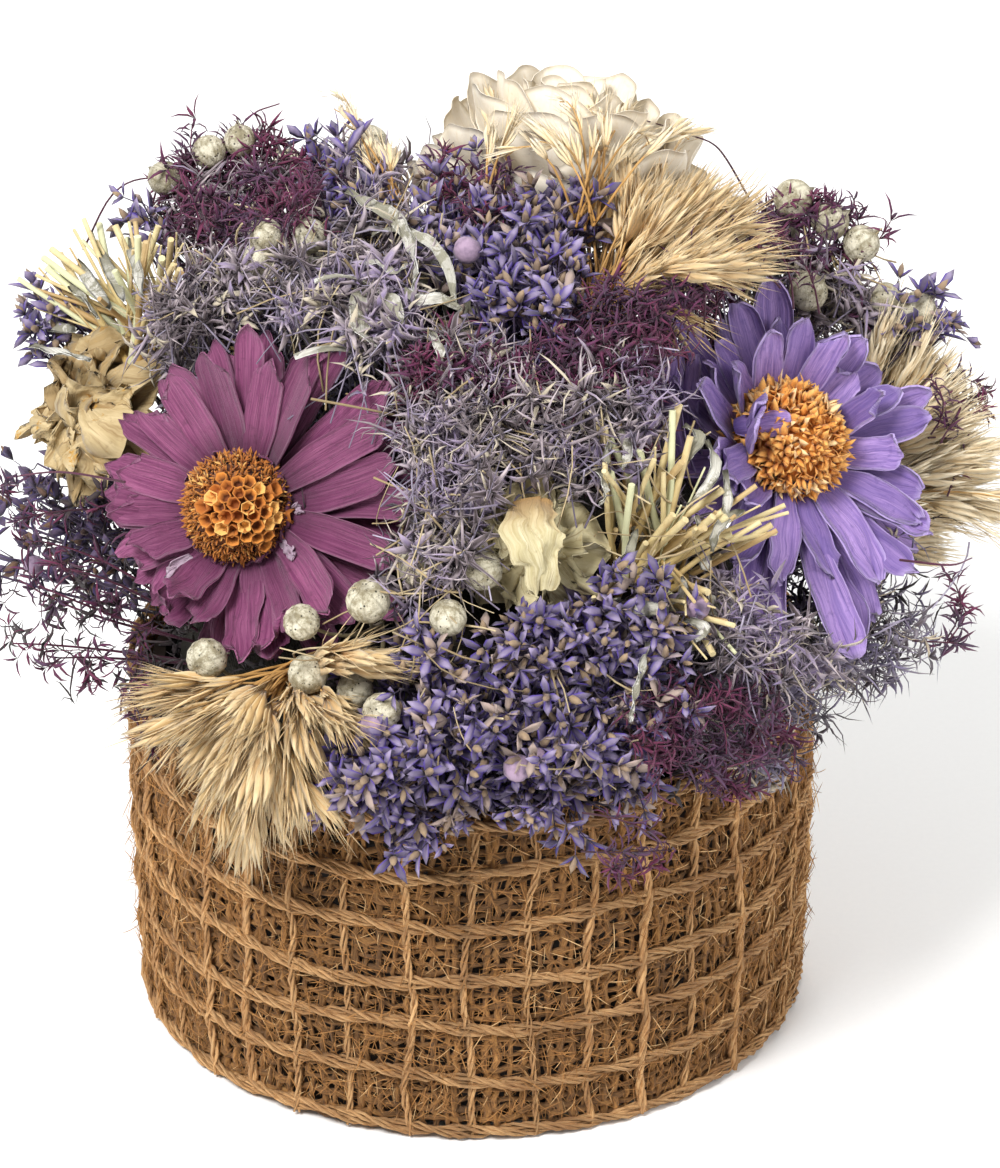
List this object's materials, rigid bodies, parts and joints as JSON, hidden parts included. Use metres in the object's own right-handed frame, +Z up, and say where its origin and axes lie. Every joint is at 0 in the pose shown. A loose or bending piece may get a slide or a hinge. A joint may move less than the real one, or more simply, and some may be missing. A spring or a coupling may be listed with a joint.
{
  "type": "flower basket arrangement",
  "caption": "Dome of dried daisies, grasses, florets and seed heads in dry foam, in a low round pot wrapped in hessian and a coarse jute net.",
  "frame": {"origin": "centre of the pot's underside, on the ground", "axes": "+Z up, front towards -Y"},
  "size_m": [0.1787, 0.1553, 0.1554],
  "materials": {
    "pot_plastic": "matt dark brown moulded plastic",
    "hessian": "fine dense plain weave, brown with dark gaps",
    "jute_cord": "coarse hairy twisted jute yarn, natural tan",
    "dry_foam": "dull open-celled dry floral foam, grey-brown",
    "magenta_petal": "creased dyed dried petal, orchid with pale torn edges",
    "ochre_disc": "dry honeycomb of florets, ochre orange",
    "violet_petal": "creased dyed dried petal, lavender with pale edges",
    "orange_disc": "dry ragged florets, orange",
    "ivory_petal": "thin ruffled dried petal, ivory",
    "tan_petal": "crumpled papery petal, tan",
    "cream_petal": "crumpled papery petal, cream",
    "golden_grass": "fine dried feathery grass, golden blond",
    "straw": "smooth dried straw, slightly glossy",
    "purple_floret": "small dyed dried florets, violet blue",
    "lilac_spray": "fine dried spray, grey lilac",
    "burgundy_moss": "fine moss-like spray, dyed burgundy",
    "pale_ribbon": "thin papery curl, greenish white",
    "seed_head": "dry seed head, cream grey"
  },
  "bodies": {
    "root": {"pot": "pot_plastic", "hessian_sleeve": "hessian", "jute_net": "jute_cord", "foam": "dry_foam", "magenta_daisy_petals": "magenta_petal", "magenta_daisy_disc": "ochre_disc", "violet_daisy_petals": "violet_petal", "violet_daisy_disc": "orange_disc", "ivory_bloom": "ivory_petal", "tan_bloom": "tan_petal", "cream_bloom": "cream_petal", "grass_top": "golden_grass", "grass_front_left": "golden_grass", "grass_right": "golden_grass", "grass_crown": "golden_grass", "grass_back": "golden_grass", "straw_middle": "straw", "straw_left": "straw", "straw_back": "straw", "florets_left": "purple_floret", "florets_front": "purple_floret", "florets_crown": "purple_floret", "florets_far_left": "purple_floret", "florets_far_right": "purple_floret", "florets_back": "purple_floret", "spray_left": "lilac_spray", "spray_middle": "lilac_spray", "spray_right": "lilac_spray", "spray_low": "lilac_spray", "moss_left": "burgundy_moss", "moss_crown": "burgundy_moss", "moss_middle": "burgundy_moss", "moss_right": "burgundy_moss", "moss_back": "burgundy_moss", "ribbons": "pale_ribbon", "pods_front": "seed_head", "pods_crown": "seed_head", "pods_right": "seed_head", "pods_far_left": "seed_head"}
  },
  "joints": []
}
